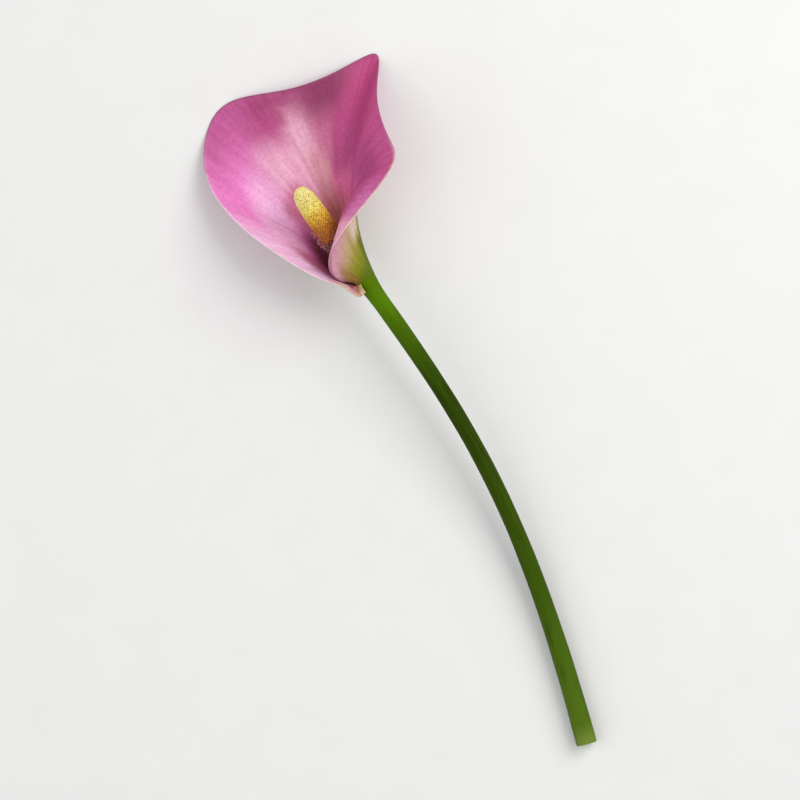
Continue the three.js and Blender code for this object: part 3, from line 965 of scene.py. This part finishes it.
# %% [markdown]
# Some florets carry a pale curly thread. A thread is a short curve with a round bevel: five points that
# go straight out, lean over and curl back. Each is drawn from seeded numbers, made a mesh, and bent with
# the rest, and most stand on the left, where the throat is open.

# %% The curly threads between the pistils
THREAD_RADIUS = 0.12
THREAD_GIRTHS = (1.3, 1.0, 0.9, 0.9, 1.2)


def model_thread(length, radius, angle, chance):
    """A curly thread from the surface of the spadix outwards, on the straight form."""
    out = Vector((0, math.cos(angle), math.sin(angle)))
    around = Vector((0, -math.sin(angle), math.cos(angle)))
    ahead = Vector((1, 0, 0))
    root = Vector((length, 0, 0)) + out * radius
    reach = chance.uniform(1.7, 2.5)
    lean = chance.uniform(-0.9, 0.9)
    curl = chance.choice((-1, 1)) * chance.uniform(0.5, 0.9)
    knots = [root, root + out * reach * 0.6 + ahead * lean * 0.4,
             root + out * reach + ahead * lean + around * curl * 0.5,
             root + out * reach * 0.9 + ahead * (lean + 0.3) + around * curl * 1.2,
             root + out * reach * 0.55 + ahead * (lean + 0.1) + around * curl * 1.3]
    thread = path_curve("thread", [(knot * MM, None, None) for knot in knots])
    thread.data.resolution_u = 4
    thread.data.bevel_depth = THREAD_RADIUS * MM
    thread.data.bevel_resolution = 1
    thread.data.use_fill_caps = True
    for point, girth in zip(thread.data.splines[0].bezier_points, THREAD_GIRTHS):
        point.radius = girth
    clear_selection()
    thread.select_set(True)
    bpy.context.view_layer.objects.active = thread
    bpy.ops.object.convert(target="MESH")
    return bpy.context.object


# each root is a place up the spadix, a distance from its axis and an angle round it: the first twenty
# stand among the last beads, and the others run up the left of the yellow part
chance = random.Random(11)
roots = [(chance.uniform(19.5, 23.5), 4.2, chance.gauss(0.4, 1.0)) for _ in range(20)]
roots += [(chance.uniform(22.5, 30.5), 4.8, chance.gauss(0.15, 0.35)) for _ in range(18)]
threads = [model_thread(length, radius, angle, chance) for length, radius, angle in roots]
threads_piece = threads[0]
threads_piece.name = "spadix_threads"
join_all(threads_piece, threads[1:])
bend(threads_piece, spadix_path)
print("threads:", len(threads), "of them,", len(threads_piece.data.polygons), "faces")

# %% [markdown]
# ## The pollen-bearing florets
#
# The yellow finger is packed with stamens: blocky little pads, so close that only dark specks and slits
# show between them. Each pad is a short eight-sided block with a crown. On some the pore is still closed,
# on others it is open and pushed in, so two kinds are modelled.

# %% The stamens' form
STAMEN_PROFILE = [(21.9, 3.9), (22.8, 4.9), (27, 5.15), (37, 5.2), (42, 4.95), (45.5, 4.45), (48, 3.65),
                  (49.6, 2.45), (50.3, 1.45), (50.6, 0.5)]
PAD_RADIUS, PAD_BLOCK, PAD_TOP = 0.69, 0.8, 0.9
PAD_OVAL = 0.88
PAD_SPACING = 1.22
PAD_SINK = 0.72
CORE_BELOW_PADS = 0.28


def model_stamen(name, pore_lift, pore_radius):
    """One pad, standing on the origin. Its pore is lifted by so many millimetres, or pushed in if below 0."""
    pad = start_floret(name, PAD_RADIUS, PAD_BLOCK)
    inset_and_lift((0.12, 0.10), (0.28, 0.06), (0.09, pore_lift))
    bpy.ops.mesh.select_all(action="SELECT")
    bpy.ops.transform.resize(value=(1.0, PAD_OVAL, 1), center_override=(0, 0, 0))
    bpy.ops.object.mode_set(mode="OBJECT")
    mark_height(pad, PAD_TOP, pore_radius)
    return pad


closed = model_stamen("stamen_closed", pore_lift=0.02, pore_radius=0)
opened = model_stamen("stamen_open", pore_lift=-0.16, pore_radius=0.24)
core_profile = [(length, radius - CORE_BELOW_PADS) for length, radius in STAMEN_PROFILE[:-1]]
stamens = draw_out("spadix_stamen_pads", core_profile, sides=28)
pads = plant_florets([closed, closed, opened], packed_places(STAMEN_PROFILE, PAD_SPACING), PAD_SINK, seed=9)
join_all(stamens, pads)
for pad in (closed, opened):
    bpy.data.objects.remove(pad)
bend(stamens, spadix_path)
print("stamens:", len(pads), "pads,", len(stamens.data.polygons), "faces")

# %% [markdown]
# ## The colours of the spadix
#
# The finger goes from pale powdery yellow at its tip to orange-brown deep in the throat. Each pad is
# lightest on its crown, with painted shade in its pore and at its root: that is what the height attribute
# is for. The beads below are dusky pink with paler buttons, with painted shade at their roots, and
# painted shade makes them darker the deeper they sit. The threads are pale pink. All the noise is read on
# the straight form, so it keeps its size round the bend.

# %% Finish for the yellow pads
RIPENING_FROM = 24.0
RIPENING_LENGTH = 27.0


def height_on_floret(tree):
    """The height kept on each floret, from 0 at its root to 1 at its top."""
    node = tree.nodes.new("ShaderNodeAttribute")
    node.attribute_name = "height"
    return node.outputs["Fac"]


def cloud_noise(tree, scale, detail):
    """Even noise on the straight form."""
    return noise(tree, stretched(tree, *straight_place(tree)), scale, detail)


finish_stamens, tree, shader = new_finish("stamen_pollen", 0.82)
lengthwise = straight_place(tree)[0]
height = height_on_floret(tree)
ripe = calc(tree, "DIVIDE", calc(tree, "SUBTRACT", lengthwise, RIPENING_FROM), RIPENING_LENGTH)
ripe = shaken(tree, ripe, cloud_noise(tree, 0.5, 3.0), 0.25)
crown = colour_ramp(tree, ripe, [
    (0.0, srgb(182, 104, 40)), (0.22, srgb(202, 128, 36)), (0.42, srgb(240, 196, 64)),
    (0.62, srgb(253, 236, 124)), (0.85, srgb(255, 244, 160)), (1.0, srgb(255, 243, 158))])
# painted shade: the darker root colour goes at each pad's root and in its pore, where the pads crowd together
root = colour_ramp(tree, ripe, [
    (0.0, srgb(122, 60, 22)), (0.5, srgb(176, 120, 28)), (1.0, srgb(236, 204, 96))])
skin = tint(tree, soft_step(tree, height, low=0.35, high=0.9), root, crown)
pollen = cloud_noise(tree, 6.0, 3.0)
skin = uneven(tree, skin, pollen, low=0.36, high=0.64, swing=(0.04, 0.06, 0.10))
skin = marked(tree, skin, cloud_noise(tree, 1.5, 1.0), 0.63, 0.71, 0.55, srgb(128, 84, 26))
wire(tree, skin, shader.inputs["Base Color"])
wire(tree, bump(tree, pollen, 0.12 * MM, strength=0.6), shader.inputs["Normal"])
stamens.data.materials.clear()
stamens.data.materials.append(finish_stamens)
print("pads finished with", len(tree.nodes), "nodes")

# %% Finish for the beads
finish_beads, tree, shader = new_finish("pistil_skin", 0.5)
lengthwise = straight_place(tree)[0]
# painted shade: each bead is darkest at its root, between the beads
skin = colour_ramp(tree, height_on_floret(tree), [
    (0.0, srgb(56, 18, 22)), (0.35, srgb(116, 58, 54)), (0.7, srgb(148, 86, 74)),
    (0.95, srgb(186, 130, 118))])
# painted shade: the beads darken the deeper they sit in the throat
throat_shade_share = calc(tree, "SUBTRACT", 1.25, calc(tree, "DIVIDE", lengthwise, 22))
skin = tint(tree, throat_shade_share, skin, srgb(84, 34, 38))
cloud = cloud_noise(tree, 1.2, 3.0)
patches = colour_ramp(tree, cloud, [(0.35, (0.84, 0.80, 0.80, 1)), (0.6, (1, 1, 1, 1))])
wire(tree, tint(tree, 1.0, skin, patches, "MULTIPLY"), shader.inputs["Base Color"])
wire(tree, bump(tree, cloud, 0.1 * MM), shader.inputs["Normal"])
pistils.data.materials.clear()
pistils.data.materials.append(finish_beads)
print("beads finished with", len(tree.nodes), "nodes")

# %% Finish for the threads
finish_threads, tree, shader = new_finish("thread_skin", 0.5)
cloud = cloud_noise(tree, 1.5, 2.0)
skin = colour_ramp(tree, cloud, [(0.35, srgb(176, 106, 112)), (0.65, srgb(214, 160, 158))])
wire(tree, skin, shader.inputs["Base Color"])
wire(tree, bump(tree, cloud, 0.05 * MM), shader.inputs["Normal"])
threads_piece.data.materials.clear()
threads_piece.data.materials.append(finish_threads)
print("threads finished with", len(tree.nodes), "nodes")

# %% [markdown]
# The solids of the spadix are hidden, and each piece is attached to the body it moves with. The threads
# stand for no solid, because they are too thin for one. The two paths have done their work and are taken
# away.

# %% The spadix in its place
for piece, node in ((stamens, "spadix_stamens"), (pistils, "spadix_pistils")):
    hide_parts(node)
for piece, slot in ((stamens, "stamens"), (pistils, "pistils"), (threads_piece, "pistils")):
    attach(piece, "root")
for curve in (stem_path, spadix_path):
    bpy.data.objects.remove(curve)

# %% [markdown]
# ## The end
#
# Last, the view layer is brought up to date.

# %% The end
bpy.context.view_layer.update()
